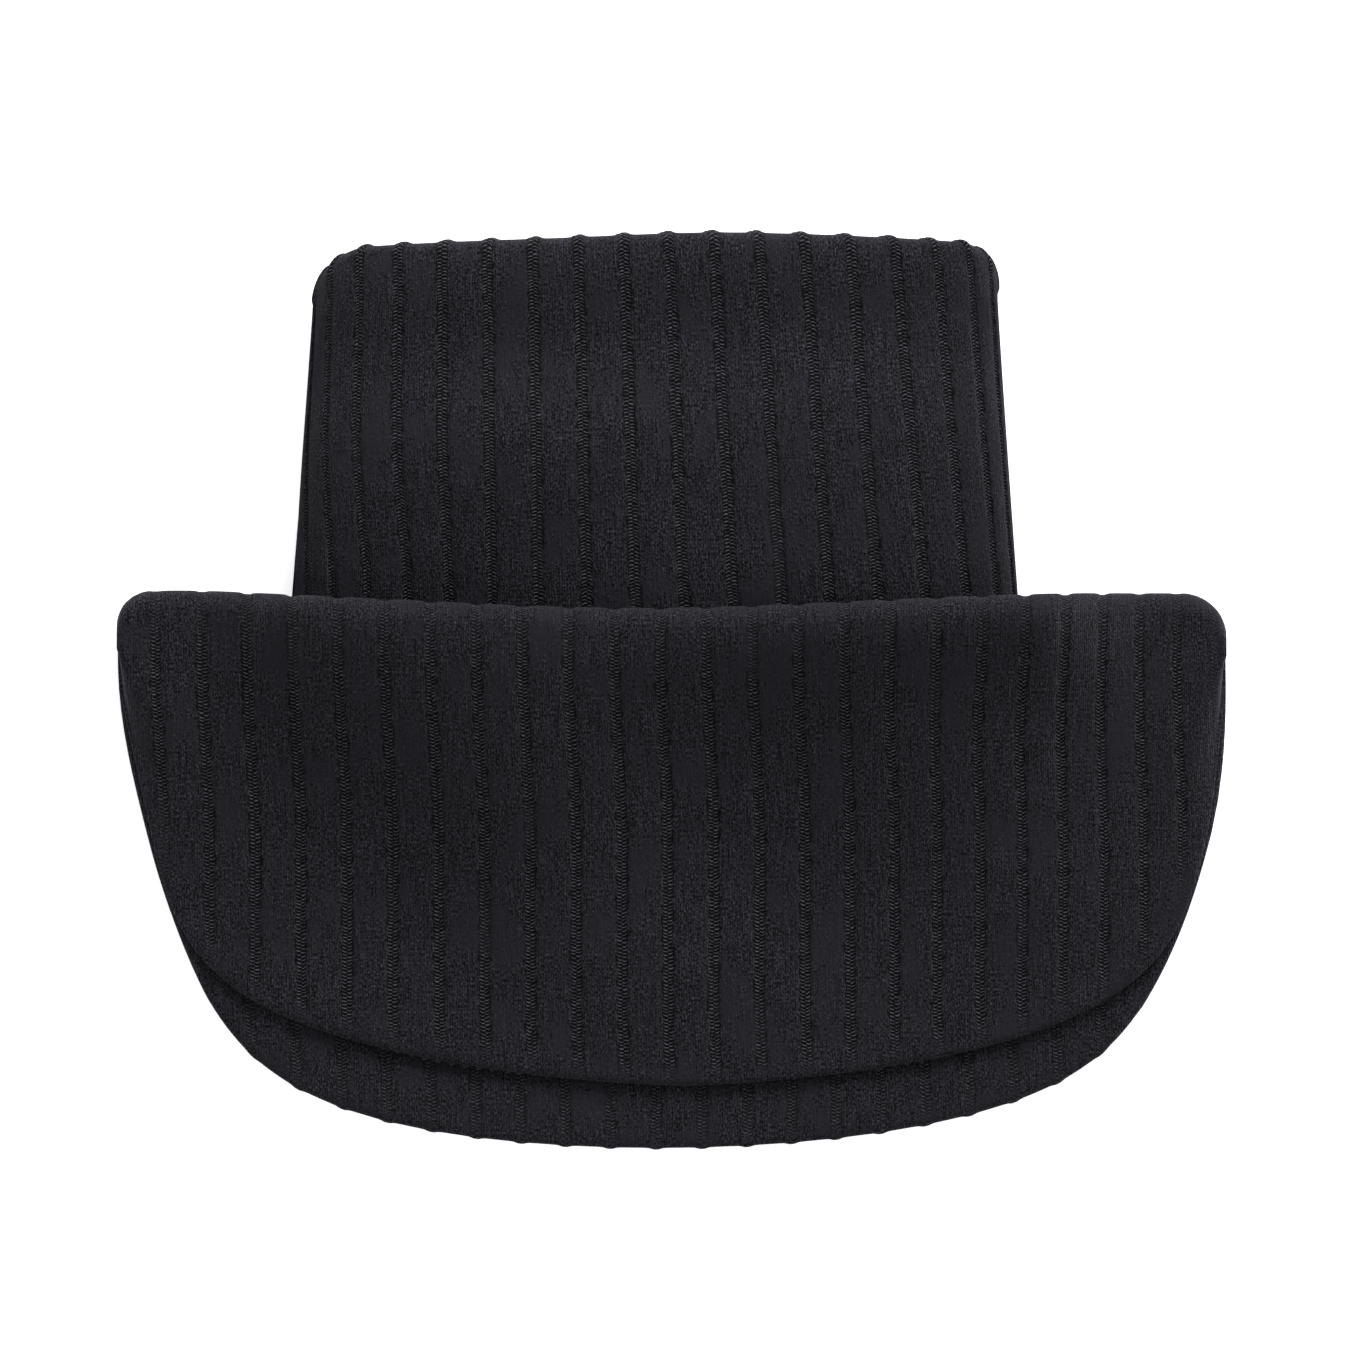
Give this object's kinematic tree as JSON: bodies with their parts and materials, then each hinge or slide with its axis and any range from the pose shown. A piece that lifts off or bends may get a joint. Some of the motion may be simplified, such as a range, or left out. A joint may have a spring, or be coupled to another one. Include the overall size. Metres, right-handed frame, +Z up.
{
  "type": "turtleneck dickey",
  "caption": "Detachable ribbed-knit turtleneck collar with a rounded front and back bib, lying flat; the front bib lifts and the collar tilts.",
  "frame": {"origin": "bottom centre of the box of the dickey as it lies flat on its back, on the surface that it lies on", "axes": "+X across the bibs, +Y from the bibs' hems towards the collar's top fold, +Z up, away from the back bib towards the front bib"},
  "size_m": [0.2884, 0.2378, 0.0336],
  "materials": {
    "rib_knit": "black heathered fine-gauge knit in wide flat ribs with narrow purl channels, matte and slightly fuzzy",
    "seam_yarn": "black linking and sewing yarn, plied, matte",
    "label_satin": "blank black woven satin ribbon, soft sheen"
  },
  "bodies": {
    "back_bib": {"back_bib_panel": "rib_knit", "back_hem_thread": "seam_yarn", "neck_linking_thread": "seam_yarn", "care_label": "label_satin", "care_label_stitches": "seam_yarn"},
    "front_bib": {"front_bib_panel": "rib_knit", "front_hem_thread": "seam_yarn", "left_shoulder_seam_thread": "seam_yarn", "right_shoulder_seam_thread": "seam_yarn"},
    "collar": {"turned_collar": "rib_knit", "collar_closing_seam_thread": "seam_yarn"}
  },
  "joints": [
    {"name": "front_bib_lift", "type": "hinge", "parent": "back_bib", "child": "front_bib", "pos_m": [0, 0.01945, 0.0282], "axis": [-1, 0, 0], "range_deg": [0, 90]},
    {"name": "collar_tilt", "type": "hinge", "parent": "back_bib", "child": "collar", "pos_m": [0, 0.01945, 0.0282], "axis": [1, 0, 0], "range_deg": [0, 50]}
  ]
}
